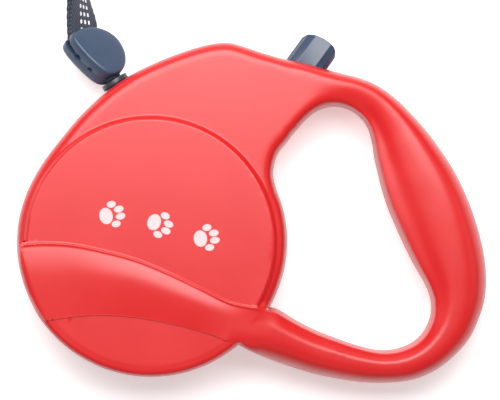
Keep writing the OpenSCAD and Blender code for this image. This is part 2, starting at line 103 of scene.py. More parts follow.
# ---------------------------------------------------------------- node materials
class Mat:
    """A node material under construction: helpers that add and join shader nodes."""

    def __init__(self, name):
        self.mat = bpy.data.materials.new(name)
        self.mat.use_nodes = True
        self.tree = self.mat.node_tree
        self.bsdf = self.tree.nodes["Principled BSDF"]
        self._coord = None

    def node(self, kind, **props):
        """Adds a shader node with the given properties."""
        n = self.tree.nodes.new(kind)
        for k, v in props.items():
            setattr(n, k, v)
        return n

    def join(self, source, target):
        """Links an output to an input."""
        self.tree.links.new(source, target)

    def feed(self, socket, value):
        """Gives an input a link, a colour or a plain value."""
        if isinstance(value, bpy.types.NodeSocket):
            self.join(value, socket)
        elif isinstance(value, (tuple, list)) and len(value) == 3 and socket.type == "RGBA":
            socket.default_value = (*value, 1)
        else:
            socket.default_value = value

    def coord(self, kind="Object"):
        if self._coord is None:
            self._coord = self.node("ShaderNodeTexCoord")
        return self._coord.outputs[kind]

    def math(self, op, a, b=0.0):
        n = self.node("ShaderNodeMath", operation=op)
        for socket, value in zip(n.inputs, (a, b)):
            self.feed(socket, value)
        return n.outputs[0]

    def noise(self, scale, detail=3.0, roughness=0.5, vector=None):
        n = self.node("ShaderNodeTexNoise")
        self.join(vector or self.coord(), n.inputs["Vector"])
        n.inputs["Scale"].default_value = scale
        n.inputs["Detail"].default_value = detail
        n.inputs["Roughness"].default_value = roughness
        return n.outputs["Fac"]

    def span(self, value, lo, hi, to_lo, to_hi):
        """The value mapped from lo..hi to to_lo..to_hi and held there."""
        n = self.node("ShaderNodeMapRange")
        n.clamp = True
        for socket, v in zip(n.inputs, (value, lo, hi, to_lo, to_hi)):
            self.feed(socket, v)
        return n.outputs[0]

    def mix(self, factor, a, b):
        n = self.node("ShaderNodeMix", data_type="RGBA")
        self.feed(n.inputs[0], factor)
        self.feed(n.inputs[6], a)
        self.feed(n.inputs[7], b)
        return n.outputs[2]

    def split(self, vector):
        n = self.node("ShaderNodeSeparateXYZ")
        self.join(vector, n.inputs[0])
        return n.outputs

    def bump(self, height, strength, distance):
        n = self.node("ShaderNodeBump")
        n.inputs["Strength"].default_value = strength
        n.inputs["Distance"].default_value = distance
        self.feed(n.inputs["Height"], height)
        return n.outputs[0]

    def set(self, **values):
        """Values or links for the shader's own sockets, with _ for a space."""
        for k, v in values.items():
            self.feed(self.bsdf.inputs[k.replace("_", " ")], v)
        return self


def moulded(name, colour, rough, low, grain=0.00002, speck=0.06, subsurface=0.0):
    """Moulded plastic: fine surface grain, faint flow mottling and slightly varied gloss."""
    m = Mat(name)
    flow = m.noise(45, 4, 0.55)
    fine = m.noise(5200, 2, 0.6)
    tint = m.span(flow, 0.3, 0.7, 0.0, 1.0)
    darker = tuple(c * (1 - speck) for c in colour)
    lighter = tuple(min(c * (1 + speck) + 0.002, 1) for c in colour)
    base = m.mix(tint, darker, lighter)
    r = m.span(m.math("ADD", m.math("MULTIPLY", flow, 0.5), m.math("MULTIPLY", fine, 0.5)), 0.3, 0.7, low, rough)
    m.set(Base_Color=base, Roughness=r, Normal=m.bump(fine, 0.35, grain))
    m.set(IOR=1.5)
    if subsurface:
        m.set(Subsurface_Weight=subsurface, Subsurface_Radius=(0.004, 0.0008, 0.0006), Subsurface_Scale=0.6)
    return m


def metal(name, colour, low, high, stretch=(1, 1, 1), scale=900, depth=0.000015):
    """Metal with fine directional scratches and a smudged gloss."""
    m = Mat(name)
    mapping = m.node("ShaderNodeMapping")
    m.join(m.coord(), mapping.inputs["Vector"])
    mapping.inputs["Scale"].default_value = stretch
    lines = m.noise(scale, 3, 0.6, mapping.outputs[0])
    smudge = m.noise(160, 3, 0.5)
    mixed = m.math("ADD", m.math("MULTIPLY", lines, 0.6), m.math("MULTIPLY", smudge, 0.4))
    m.set(Base_Color=m.mix(m.span(smudge, 0.35, 0.7, 0, 1), tuple(c * 0.86 for c in colour), colour))
    m.set(Metallic=1.0, Roughness=m.span(mixed, 0.3, 0.7, low, high), Normal=m.bump(lines, 0.3, depth))
    return m


def paw_mask(m, prints):
    """White ink marks: small plain paw prints given as (x, y, size, angle) in millimetres and degrees."""
    pos = m.split(m.coord())
    total = None
    # one large pad and four toes: centre and radii as fractions of the print's size
    pads = [(0, -0.12, 0.27, 0.22), (-0.33, 0.14, 0.11, 0.15), (-0.12, 0.34, 0.11, 0.16),
            (0.12, 0.34, 0.11, 0.16), (0.33, 0.14, 0.11, 0.15)]
    for px, py, size, angle in prints:
        ca, sa = math.cos(math.radians(angle)), math.sin(math.radians(angle))
        dx = m.math("SUBTRACT", pos[0], px * MM)
        dy = m.math("SUBTRACT", pos[1], py * MM)
        u = m.math("ADD", m.math("MULTIPLY", dx, ca / (size * MM)), m.math("MULTIPLY", dy, sa / (size * MM)))
        v = m.math("SUBTRACT", m.math("MULTIPLY", dy, ca / (size * MM)), m.math("MULTIPLY", dx, sa / (size * MM)))
        for cx, cy, rx, ry in pads:
            a = m.math("POWER", m.math("ABSOLUTE", m.math("DIVIDE", m.math("SUBTRACT", u, cx), rx)), 2.0)
            b = m.math("POWER", m.math("ABSOLUTE", m.math("DIVIDE", m.math("SUBTRACT", v, cy), ry)), 2.0)
            inside = m.span(m.math("ADD", a, b), 0.85, 1.1, 1.0, 0.0)
            total = inside if total is None else m.math("MAXIMUM", total, inside)
    return total


RED = (0.57, 0.009, 0.01)


def shell_material(name, printed):
    """The housing's red plastic, with the printed marks on its upward face."""
    m = moulded(name, RED, 0.4, 0.31, grain=0.00001, speck=0.03, subsurface=0.04)
    if printed:
        plain = m.bsdf.inputs["Base Color"].links[0].from_socket
        mask = paw_mask(m, [(-14, 9.5, 10.5, -76), (2.5, 6.6, 10.5, -112), (18.5, 1.6, 10.5, -82)])
        upward = m.split(m.coord("Normal"))[2]
        worn = m.span(m.noise(2600, 3, 0.7), 0.28, 0.42, 0.55, 1.0)
        ink = m.math("MULTIPLY", m.math("MULTIPLY", mask, worn), m.span(upward, 0.5, 0.8, 0, 1))
        m.set(Base_Color=m.mix(m.math("MULTIPLY", ink, 0.82), plain, (0.86, 0.62, 0.63)))
    return m.mat


def finish_piece(obj, mat, body, slot, *nodes):
    """Gives a piece its material and body, and hides the CAD nodes that it stands for; slot is not used."""
    obj.data.materials.clear()
    obj.data.materials.append(mat)
    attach(obj, body)
    if nodes:
        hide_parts(*nodes)
    return obj


# ---------------------------------------------------------------- curves and plane geometry, in millimetres
def catmull(a, b, c, d, t):
    """A point between b and c on the smooth curve through all four points."""
    return b + (c - a) * t / 2 + (2 * a - 5 * b + 4 * c - d) * t * t / 2 + (3 * b - a - 3 * c + d) * t ** 3 / 2


def closed_curve(p, n):
    """A smooth closed curve through the points, n points to a span."""
    p = np.array(p, float)
    k = len(p)
    return np.array([catmull(p[i - 1], p[i], p[(i + 1) % k], p[(i + 2) % k], j / n)
                     for i in range(k) for j in range(n)])


def open_curve(p, n):
    """A smooth open curve through the points, n points to a span."""
    p = np.array(p, float)
    k = len(p)
    out = [catmull(p[max(i - 1, 0)], p[i], p[i + 1], p[min(i + 2, k - 1)], j / n)
           for i in range(k - 1) for j in range(n)]
    return np.array(out + [p[-1]])


def even_points(line, step, closed=False):
    """The line's points at even spacing."""
    if closed:
        line = np.vstack([line, line[:1]])
    seg = np.linalg.norm(np.diff(line, axis=0), axis=1)
    s = np.concatenate([[0], np.cumsum(seg)])
    n = max(int(round(s[-1] / step)), 2)
    at = np.linspace(0, s[-1], n + 1)
    out = np.stack([np.interp(at, s, line[:, k]) for k in range(line.shape[1])], axis=1)
    return out[:-1] if closed else out


def inside(pts, poly):
    """Which points lie in the closed polygon."""
    x, y = pts[:, 0], pts[:, 1]
    res = np.zeros(len(pts), bool)
    for (x0, y0), (x1, y1) in zip(poly, np.roll(poly, -1, axis=0)):
        if y0 == y1:
            continue
        hit = (y0 > y) != (y1 > y)
        res ^= hit & (x < (x1 - x0) * (y - y0) / (y1 - y0) + x0)
    return res


def distance(pts, a, b):
    """Distance from each point to the nearest of the segments a to b."""
    best = np.full(len(pts), 1e9)
    for p, q in zip(a, b):
        d = q - p
        t = np.clip(((pts - p) @ d) / max(d @ d, 1e-12), 0, 1)
        best = np.minimum(best, np.hypot(*(pts - p - t[:, None] * d).T))
    return best


def smooth(u):
    """0 to 1 with a soft start and end."""
    u = np.clip(u, 0, 1)
    return u * u * (3 - 2 * u)


# ---------------------------------------------------------------- housing form
PARTING = 16.0
# outline of the reel case with its shoulder
CASE = [[47.3, 0], [46.9, 6.5], [45.6, 12.8], [43.4, 18.8], [42.4, 24.4], [44.1, 30.8], [48.6, 36.8],
        [51.6, 44.5], [53, 52], [53, 60.2], [49.5, 62.8], [44, 64.4], [38, 66.2], [32, 68.2], [27.4, 69.4],
        [22.4, 69.3], [16, 67.9], [8, 65.2], [0, 61.9], [-6, 58.9], [-12, 55.1], [-18.5, 50], [-25.2, 43.6],
        [-30.9, 36.8], [-36.2, 30], [-40.4, 23.4], [-43.9, 16], [-46.1, 8], [-46.8, 0], [-46.1, -8],
        [-43.9, -16], [-40.5, -23.5], [-35.9, -30], [-30.1, -35.9], [-23.4, -40.5], [-16, -44],
        [-8, -46.2], [0, -46.9], [8, -46.2], [16, -44], [23.5, -40.6], [30.2, -35.9], [36, -30.2],
        [40.7, -23.6], [44.2, -16.2], [46.6, -8]]
# heights over the parting plane: the case, the front panel at its lower edge, the band's foot on each
# side, the rear band's crest, and the limit over the band's ends
CASE_H, PANEL_EDGE_H, BAND_FOOT, REAR_FOOT, REAR_CREST, BAND_END_H = 14.4, 15.9, 16.15, 15.5, 15.7, 17.3
# radius of the raised round panel, and of the case's round part
PANEL_R, CASE_R = 43.7, 46.8
# left of this only the case bounds the plan, because the loop's last stations reach past it
FAR_X = -30
# stations of the grip loop and band: opening edge, outer edge, crest height, edge fall, valley depth,
# and the crest's place across the section
LOOP = [
    [46, 34.5, 39, 62, 14.2, 0.5, 0, 0.55], [49.8, 38.2, 46.5, 63.4, 14.2, 0.62, 0, 0.55],
    [54.5, 43.4, 53.5, 62.2, 14, 0.8, 0, 0.55], [59, 46.4, 60, 60.4, 13.5, 0.95, 0.1, 0.55],
    [64, 47.4, 66, 58.9, 13, 1, 0.2, 0.55], [69, 46.3, 72.5, 57.3, 12.6, 1, 0.3, 0.58],
    [73, 43.4, 79, 54.6, 12.4, 1, 0.6, 0.58], [75.6, 39.5, 85.4, 50, 12.3, 1, 0.9, 0.58],
    [77, 34.5, 91.7, 43.8, 12.3, 1, 1, 0.58], [77.8, 29, 96.6, 38.2, 12.5, 1, 1, 0.58],
    [79, 23.8, 101, 32.2, 12.7, 1, 1, 0.58], [80.4, 18.2, 105.2, 25.8, 12.9, 1, 1, 0.58],
    [82.4, 12, 108.8, 18.8, 13, 1, 1, 0.58], [84.8, 6.2, 112, 11, 13, 1, 1, 0.54],
    [87.4, 0.4, 114.6, 2.6, 12.9, 1, 1, 0.5], [90.2, -5.4, 116.4, -6, 12.8, 1, 1, 0.46],
    [93, -10.4, 116.9, -13.6, 12.7, 1, 0.9, 0.42], [95.8, -15.4, 116.2, -20.6, 12.6, 1, 0.7, 0.38],
    [97.5, -20.6, 114.2, -27, 12.5, 1, 0.5, 0.34], [97.4, -26, 111, -33.6, 12.4, 1, 0.2, 0.3],
    [95, -31.4, 106, -39.4, 12.4, 1, 0, 0.28], [91, -35.2, 99.4, -44.6, 12.5, 1, 0, 0.28],
    [85.4, -37.4, 91.6, -48, 12.6, 1, 0, 0.28], [79.2, -37.8, 82.4, -49.2, 12.8, 1, 0, 0.28],
    [72, -36.2, 73.4, -49, 13, 1, 0, 0.28], [64.4, -33.6, 64.4, -47.7, 13.2, 1, 0, 0.28],
    [56.8, -30.6, 55.6, -45.8, 13.6, 1, 0, 0.28], [49.8, -27, 47.4, -43.2, 14.2, 0.95, 0, 0.28],
    [43.4, -23.4, 40, -40.4, 15, 0.75, 0, 0.3], [36.2, -22, 33.2, -37.4, 15.8, 0.5, 0, 0.34],
    [27.5, -20.2, 25.4, -33.2, 16.6, 0.32, 0, 0.38], [17, -15.2, 15.4, -29.7, 17.2, 0.26, 0, 0.38],
    [6.6, -10.2, 3, -26.7, 17.3, 0.24, 0, 0.38], [-4.6, -5.6, -7.4, -25.1, 17.3, 0.24, 0, 0.38],
    [-16, -2.5, -16.6, -24.5, 17.2, 0.24, 0, 0.38], [-27, -0.3, -25.4, -24.9, 16.9, 0.26, 0, 0.38],
    [-36.6, 0.2, -32.6, -25.9, 16.9, 0.26, 0, 0.38], [-42.8, -0.2, -36.8, -26.5, 16.9, 0.26, 0, 0.38],
    [-48.5, -0.7, -41.5, -28.4, 16.8, 0.26, 0, 0.38], [-53, -1.2, -46.5, -31, 16.8, 0.26, 0, 0.38]]
# numbers of stations 1 mm apart along the loop: up to UPPER_END the case's form runs over into the loop,
# from MERGE_AT on and over RUN_OUT stations; the band's section comes in only after BAND_AT
MERGE_AT, UPPER_END, BAND_AT, RUN_OUT = 14, 60, 100, 48
SCREWS = [(12, 57.5), (80.5, 44.8), (105, -12), (64.4, -40.7), (41.5, -32.5)]
WELL_R, WELL_Z = 2.9, 8

case_line = even_points(closed_curve(CASE, 12), 0.9, closed=True)
stations = even_points(open_curve(LOOP, 12), 1.0)
loop_p, loop_q = stations[:, 0:2], stations[:, 2:4]
loop_poly = np.vstack([loop_p, loop_q[::-1]])


def outer_part(a, b, poly):
    """The segments' parts outside a polygon, cut where they cross it."""
    in_a, in_b = inside(a, poly), inside(b, poly)
    near, far = a, b
    for _ in range(20):
        mid = (near + far) / 2
        same = (inside(mid, poly) == in_a)[:, None]
        near, far = np.where(same, mid, near), np.where(same, far, mid)
    keep = ~(in_a & in_b)
    return np.where((in_a & ~in_b)[:, None], far, a)[keep], np.where((~in_a & in_b)[:, None], near, b)[keep]


def outline_segments():
    """Ends of the segments that bound the case and the loop together."""
    case_next = np.roll(case_line, -1, axis=0)
    left = case_line[:, 0] < FAR_X
    parts = [(case_line[left], case_next[left]), outer_part(case_line[~left], case_next[~left], loop_poly)]
    for side in (loop_p, loop_q):
        side = side[side[:, 0] > FAR_X]
        parts.append(outer_part(side[:-1], side[1:], case_line))
    return np.vstack([a for a, _ in parts]), np.vstack([b for _, b in parts])


OUTLINE_A, OUTLINE_B = outline_segments()


def in_plan(pts):
    """Points of the case and the loop together."""
    return inside(pts, case_line) | (inside(pts, loop_poly) & (pts[:, 0] > FAR_X))


def edge_profile(d, width):
    """Share of the full height at a distance d from the outline, over a rounded edge."""
    return (1 - (1 - np.clip(d / width, 0, 1)) ** 4.2) ** 0.31


def section(t, valley, peak):
    """Height of the grip's section, from 0 at the opening's edge over the crest to 0 at the outer edge."""
    edge = 0.07
    wall = 0.84 * np.clip(t / edge, 0, 1) ** 0.55
    s = np.clip((t - edge) / (1 - edge), 0, 1)
    rise = 1 - 0.2 * np.clip((peak - s) / peak, 0, 1) ** 1.5 - 0.04 * valley * np.exp(-((s - 0.17) / 0.11) ** 2)
    drop = (1 - np.clip((s - peak) / (1 - peak), 0, 1) ** 3.6) ** 0.5
    return np.where(t < edge, wall, np.where(s < peak, rise, drop))


def band_section(t):
    """Share of the band's height over the panel: steep thin edges, crest nearer the upper edge."""
    peak = 0.38
    up = 1 - np.clip((peak - t) / peak, 0, 1) ** 1.7
    down = 1 - np.clip((t - peak) / (1 - peak), 0, 1) ** 1.6
    return np.where(t < peak, up, down)


def loop_place(pts):
    """For each point: the fractional station and the fraction across it, or station -1 off the loop."""
    best_t = np.full(len(pts), 9.0)
    best_k = np.full(len(pts), -1.0)
    d = loop_q - loop_p

    def side(k):
        return d[k, 0] * (pts[:, 1] - loop_p[k, 1]) - d[k, 1] * (pts[:, 0] - loop_p[k, 0])

    c1 = side(0)
    for k in range(len(stations) - 1):
        c0, c1 = c1, side(k + 1)
        i = np.nonzero((c0 * c1 <= 0) & (c0 != c1))[0]
        if not len(i):
            continue
        f = c0[i] / (c0[i] - c1[i])
        p = loop_p[k] + f[:, None] * (loop_p[k + 1] - loop_p[k])
        w = loop_q[k] + f[:, None] * (loop_q[k + 1] - loop_q[k]) - p
        t = ((pts[i] - p) * w).sum(1) / (w * w).sum(1)
        off, old = np.abs(t - 0.5), np.abs(best_t[i] - 0.5)
        better = (off < old) & (off < 0.52)
        best_t[i[better]] = t[better]
        best_k[i[better]] = k + f[better]
    return best_k, np.clip(best_t, 0, 1)


def height(pts, front):
    """Height of a shell's outer surface above the parting plane."""
    d = distance(pts, OUTLINE_A, OUTLINE_B)
    in_case = inside(pts, case_line)
    h_case = CASE_H * edge_profile(d, 5.5)
    r = np.hypot(*pts.T)
    if front:
        # below the band the panel runs out to the edge
        edge = PANEL_EDGE_H * edge_profile(np.minimum(d, CASE_R - r), 3.4)
        h_case = h_case + smooth((-20 - pts[:, 1]) / 5) * in_case * (edge - h_case)
    step = smooth((PANEL_R + 0.25 - r) / 1.7)
    h_case = h_case + np.where(in_case, step * (PARTING - h_case), 0)
    k, t = loop_place(pts)
    on = k >= 0
    ks = np.clip(k, 0, len(stations) - 1)
    idx = np.arange(len(stations))
    crest, fall, valley, peak = (np.interp(ks, idx, stations[:, c]) for c in (4, 5, 6, 7))
    foot = BAND_FOOT
    if not front:
        crest, foot = np.minimum(crest, REAR_CREST), REAR_FOOT
    h_loop = crest * (1 - (1 - section(t, valley, peak)) * np.maximum(fall, 0.5))
    # the ridge band: its own section once the loop runs over the case
    limit = 0.86 - 0.19 * np.clip((t - 0.2) / 0.5, 0, 1)
    on_band = np.clip((limit - fall) / 0.34, 0, 1) * (ks > BAND_AT)
    foot = foot + 0.3 * t * front
    h_band = foot + (crest - foot) * band_section(t)
    if front:
        # thin raised lip along the band's upper edge
        width = np.hypot(*(loop_q - loop_p)[np.clip(ks.astype(int), 0, len(stations) - 1)].T)
        h_band = h_band + 0.3 * np.exp(-((t * width - 0.55) / 0.42) ** 2)
    h_loop = h_loop + on_band * (h_band - h_loop)
    # the band rounds over the case's edge at both of its ends
    over = BAND_END_H * (1 - (1 - np.clip(d / 5, 0, 1)) ** 4) ** 0.4
    low = np.minimum(h_loop, over) - h_loop
    h_loop = h_loop + low * np.clip((1 - fall) / 0.04, 0, 1) * (ks > UPPER_END)
    # at the top the case's form runs out into the loop
    c = smooth((ks - MERGE_AT) / RUN_OUT)
    both = np.where(on & in_case, np.maximum(h_case, h_loop), h_loop)
    out = np.where(on, np.where(ks < UPPER_END, h_case + c * (both - h_case), both), h_case)
    return np.clip(out, 0, None)


# ---------------------------------------------------------------- housing shells as meshes
def ring_inset(line, d):
    """The closed line moved inward by d along its own normals."""
    t = np.roll(line, -1, axis=0) - np.roll(line, 1, axis=0)
    t /= np.linalg.norm(t, axis=1)[:, None]
    return line + d * np.stack([-t[:, 1], t[:, 0]], axis=1)


def circle(cx, cy, r, n):
    """n points round a circle."""
    a = np.linspace(0, 2 * math.pi, n, endpoint=False)
    return np.stack([cx + r * np.cos(a), cy + r * np.sin(a)], axis=1)


# the thumb button's line of travel, its distance from the reel's axis, and its window's half sizes
PRESS = math.radians(54)
PRESS_X = np.array([math.cos(PRESS), math.sin(PRESS)])
PRESS_Y = np.array([-math.sin(PRESS), math.cos(PRESS)])
PRESS_OFF, WINDOW_W, WINDOW_H = 7.2, 7.0, 5.8
# points of the dense sets that lie closer than this to another are left out
CLOSE = 0.012


def in_window(pts):
    """Points in the strip that the thumb button passes through."""
    return (pts @ PRESS_X > 70) & (np.abs(pts @ PRESS_Y + PRESS_OFF) < WINDOW_W)


def plan_points():
    """Points, edges and triangles that cover the plan of the case and the loop."""
    pts, edges = [], []

    def add(line, closed):
        n0 = len(pts)
        pts.extend(line.tolist())
        n = len(line)
        edges.extend((n0 + i, n0 + (i + 1) % n) for i in range(n if closed else n - 1))

    def scatter(new, spacing):
        """Adds the points that keep their distance from those placed before."""
        tree = kdtree.KDTree(len(pts))
        for i, p in enumerate(pts):
            tree.insert((p[0], p[1], 0), i)
        tree.balance()
        pts.extend(p for p in new.tolist() if tree.find((p[0], p[1], 0))[2] > spacing)

    add(case_line, True)
    add(loop_poly, True)
    for x, y in SCREWS:
        add(circle(x, y, WELL_R, 40), True)
    # two short edges close together at each side of the button's window, where the rim steps
    for y in (-WINDOW_W, WINDOW_W):
        for eps in (-0.02, 0.02):
            run = np.array([PRESS_X * x + PRESS_Y * (y + eps - PRESS_OFF) for x in np.arange(70, 92, 0.05)])
            last = run[in_plan(run)][-1]
            add(np.array([last - PRESS_X * 0.3, last + PRESS_X * 2]), False)
    # across the loop, closer towards its edges
    levels = [0.002, 0.007, 0.014, 0.022, 0.03, 0.04, 0.055, 0.072, 0.09, 0.1, 0.12, 0.15, 0.18, 0.22, 0.27,
              0.33, 0.39, 0.45, 0.52, 0.59, 0.66, 0.73, 0.79, 0.84, 0.88, 0.915, 0.945, 0.967, 0.983, 0.994, 0.9985]
    grid = np.vstack([loop_p + t * (loop_q - loop_p) for t in levels])
    grid = grid[in_plan(grid)]
    # the case's edge has its own points at the band's far end
    far = distance(grid, OUTLINE_A, OUTLINE_B) > 3.2
    scatter(grid[far | (grid[:, 0] > FAR_X)], CLOSE)
    # both sides of the small step from the band down to the panel
    step = np.vstack([loop_p + t * (loop_q - loop_p) for t in (-0.0207, -0.0193, 1.0193, 1.0207, 1.05)])
    scatter(step[inside(step, case_line) & (distance(step, OUTLINE_A, OUTLINE_B) > 1)], CLOSE)
    # rings over the case's rounded edge, and over the panel's step
    rings = []
    for d in (0.02, 0.07, 0.18, 0.36, 0.62, 0.95, 1.4, 2, 2.8, 3.8, 5.2, 7, 9):
        ring = ring_inset(case_line, d)
        near = distance(ring, case_line, np.roll(case_line, -1, axis=0))
        rings.append(ring[(near > d * 0.97) & (~inside(ring, loop_poly) | (ring[:, 0] < FAR_X))])
    scatter(np.vstack(rings), CLOSE)
    for r in (41.9, 42.3, 42.7, 43.1, 43.5, 43.9, 44.3):
        ring = circle(0, 0, r, 320)
        scatter(ring[~inside(ring, loop_poly)], 0.28)
    x, y = np.meshgrid(np.arange(-48, 118, 1.5), np.arange(-50, 71, 1.3))
    x = x + 0.75 * (np.arange(len(x))[:, None] % 2)
    fill = np.stack([x.ravel(), y.ravel()], axis=1)
    fill = fill[in_plan(fill)]
    scatter(fill, 0.8)
    verts, _, faces, _, _, _ = delaunay_2d_cdt([Vector(p) for p in pts], edges, [], 0, 1e-5)
    verts = np.array([[v.x, v.y] for v in verts])
    faces = np.array([list(f) for f in faces])
    mid = verts[faces].mean(axis=1)
    faces = faces[in_plan(mid)]
    a, b, c = (verts[faces[:, i]] for i in range(3))
    turn = (b - a)[:, 0] * (c - a)[:, 1] - (b - a)[:, 1] * (c - a)[:, 0]
    faces[turn < 0] = faces[turn < 0][:, ::-1]
    return verts, faces[np.abs(turn) > 1e-9]


PLAN_V, PLAN_F = plan_points()


def shell(name, front):
    """A shell's outer surface, with the seam along the parting plane and a turned-in edge."""
    h = height(PLAN_V, front)
    keep = PLAN_F
    if not front:
        mid = PLAN_V[keep].mean(axis=1)
        cut = np.zeros(len(keep), bool)
        for x, y in SCREWS:
            cut |= np.hypot(mid[:, 0] - x, mid[:, 1] - y) < WELL_R - 0.02
        keep = keep[~cut]
    window = in_window(PLAN_V)
    h = np.where(window, np.maximum(h, WINDOW_H), np.maximum(h, 0.12))
    bm = bmesh.new()
    sign = 1 if front else -1
    vs = [bm.verts.new((x * MM, y * MM, (PARTING + sign * z) * MM)) for (x, y), z in zip(PLAN_V, h)]
    bm.verts.index_update()
    for f in keep:
        tri = [vs[i] for i in (f if front else f[::-1])]
        bm.faces.new(tri)
    loose = [v for v in bm.verts if not v.link_faces]
    bmesh.ops.delete(bm, geom=loose, context="VERTS")
    # rim: inward step at the seam, and the walls of the screw holes
    screws = np.array(SCREWS)
    rim = [e for e in bm.edges if e.is_boundary]
    out = {}
    for e in rim:
        for v in e.verts:
            out.setdefault(v, []).append(e)
    inner = {}
    for v, es in out.items():
        p = np.array(v.co[:2]) / MM
        gap = np.hypot(*(screws - p).T)
        k = int(gap.argmin())
        if gap[k] < WELL_R + 0.15:
            c = Vector(screws[k]) * MM
            seat = c + (v.co.xy - c) * 0.4
            inner[v] = (bm.verts.new((v.co.x, v.co.y, WELL_Z * MM)), bm.verts.new((*seat, WELL_Z * MM)))
            continue
        n = Vector((0, 0))
        for e in es:
            f = e.link_faces[0]
            third = [w for w in f.verts if w not in e.verts][0]
            a, b = e.verts
            d = (b.co - a.co).xy.normalized()
            side = Vector((-d.y, d.x))
            n += side if side.dot((third.co - a.co).xy) > 0 else -side
        n = n.normalized() if n.length > 1e-6 else Vector((0, 0))
        # the window's edge shows the wall's thickness; the seam has a small groove
        w, low = (1.6, 9.0) if abs(v.co.z / MM - PARTING) > 5 else (0.4, 0.0)
        q = (v.co.x + n.x * w * MM, v.co.y + n.y * w * MM)
        inner[v] = (bm.verts.new((*q, v.co.z)), bm.verts.new((*q, (PARTING + sign * low) * MM)))
    for e in rim:
        a, b = e.verts
        loop = e.link_loops[0]
        if loop.vert is a:
            a, b = b, a
        for i, j in ((None, 0), (0, 1)):
            quad = [a if i is None else inner[a][i], b if i is None else inner[b][i], inner[b][j], inner[a][j]]
            bm.faces.new(quad)
    mesh = bpy.data.meshes.new(name)
    bmesh.ops.dissolve_degenerate(bm, dist=1e-7, edges=bm.edges)
    bm.to_mesh(mesh)
    bm.free()
    mesh.shade_smooth()
    mesh.set_sharp_from_angle(angle=math.radians(38))
    obj = bpy.data.objects.new(name, mesh)
    scene.collection.objects.link(obj)
    return obj


# ---------------------------------------------------------------- mesh helpers
def new_object(name, verts, faces, rounded=True, sharp=35):
    """An object in the scene, shaded smooth up to the sharp angle if it is rounded."""
    mesh = bpy.data.meshes.new(name)
    mesh.from_pydata([tuple(v) for v in verts], [], [tuple(f) for f in faces])
    mesh.update()
    if rounded:
        mesh.shade_smooth()
        if sharp:
            mesh.set_sharp_from_angle(angle=math.radians(sharp))
    obj = bpy.data.objects.new(name, mesh)
    scene.collection.objects.link(obj)
    return obj


def tube_faces(rings, m):
    """Faces between rings of m points each, and a face over each end."""
    faces = [(i * m + k, i * m + (k + 1) % m, (i + 1) * m + (k + 1) % m, (i + 1) * m + k)
             for i in range(rings - 1) for k in range(m)]
    return faces + [tuple(range(m - 1, -1, -1)), tuple((rings - 1) * m + k for k in range(m))]


def frame_matrix(origin, turn_z, turn_x=0.0):
    """A frame at an origin in millimetres, turned about Z and then about its own X."""
    return (Matrix.Translation(Vector(origin) * MM) @ Matrix.Rotation(math.radians(turn_z), 4, "Z")
            @ Matrix.Rotation(math.radians(turn_x), 4, "X"))


# where the cord leaves the housing, and its direction
EXIT, EXIT_TURN = np.array([-12.6, 55.4]), 122
AT_EXIT = frame_matrix((*EXIT, PARTING), EXIT_TURN)
AT_BLOCK = frame_matrix((-19.8, 65.2, 16), 134, 43)
AT_PRESS = Matrix.Rotation(PRESS, 4, "Z") @ Matrix.Translation(Vector((0, -PRESS_OFF, PARTING)) * MM)


# ---------------------------------------------------------------- lead strap
# route of the strap: position, and the tilt of its width from the horizontal
STRAP = [[-24.3, 70.3, 14.9, 41], [-24.4, 73, 14.9, 40], [-24.7, 77, 14.8, 43], [-25.5, 83, 14.2, 58],
         [-26.1, 90, 12.8, 74], [-25.9, 97, 10.6, 96], [-24.8, 104, 8, 122], [-22, 111.5, 4.9, 150],
         [-17.4, 118.2, 2.6, 170], [-11, 123.6, 1.8, 180], [-3, 127.4, 1.7, 180], [6, 129.2, 1.7, 180],
         [16, 129.5, 1.8, 180], [25, 129.5, 2.8, 180], [33, 129.5, 4.2, 180]]
# half width and half thickness of one layer, its distance from the strap's middle, and the weave's repeat
TAPE_W, TAPE_T, LAYER, REPEAT = 5.95, 0.64, 0.78, 2.7


def strap_frames(rows):
    """Position, width direction and face normal at each row of the strap."""
    p = rows[:, :3]
    t = np.gradient(p, axis=0)
    t /= np.linalg.norm(t, axis=1)[:, None]
    h = np.cross(t, (0, 0, 1))
    h /= np.linalg.norm(h, axis=1)[:, None]
    up = np.cross(h, t)
    a = np.radians(rows[:, 3])[:, None]
    w = np.cos(a) * h - np.sin(a) * up
    return p, w, np.cross(w, t)


def web_ring(half_w, half_t):
    """Rounded flat section of one layer of tape."""
    face = [half_w - 0.45, half_w * 0.66, half_w * 0.33, 0, -half_w * 0.33, -half_w * 0.66, 0.45 - half_w]
    ring = [(half_w, 0.0), (half_w - 0.12, half_t * 0.7)] + [(x, half_t) for x in face]
    ring += [(0.12 - half_w, half_t * 0.7), (-half_w, 0.0), (0.12 - half_w, -half_t * 0.7)]
    ring += [(-x, -half_t) for x in face] + [(half_w - 0.12, -half_t * 0.7)]
    return ring


def web_mesh(name, layers, rows_v):
    """A mesh of swept tape layers with UVs in millimetres: across the tape, along the tape.
    A layer is (positions, width directions, normals, section, offset along the normal)."""
    verts, faces, uvs = [], [], []
    for p, w, n, ring, off in layers:
        base, m = len(verts), len(ring)
        for i in range(len(p)):
            wave = 0.985 + 0.015 * math.sin(rows_v[i] * 2 * math.pi / REPEAT) + 0.004 * math.sin(rows_v[i] * 2.9)
            for c, d in ring:
                verts.append(tuple((p[i] + w[i] * c * wave + n[i] * (d + off)) * MM))
        sweep = tube_faces(len(p), m)
        faces += [tuple(base + k for k in f) for f in sweep]
        uvs += [[(ring[k % m][0], rows_v[k // m]) for k in f] for f in sweep]
    obj = new_object(name, verts, faces, sharp=None)
    bm = bmesh.new()
    bm.from_mesh(obj.data)
    layer = bm.loops.layers.uv.new("tape")
    for f, uv in zip(bm.faces, uvs):
        for corner, value in zip(f.loops, uv):
            corner[layer].uv = value
    bmesh.ops.recalc_face_normals(bm, faces=bm.faces)
    bm.to_mesh(obj.data)
    bm.free()
    obj.data.shade_smooth()
    return obj


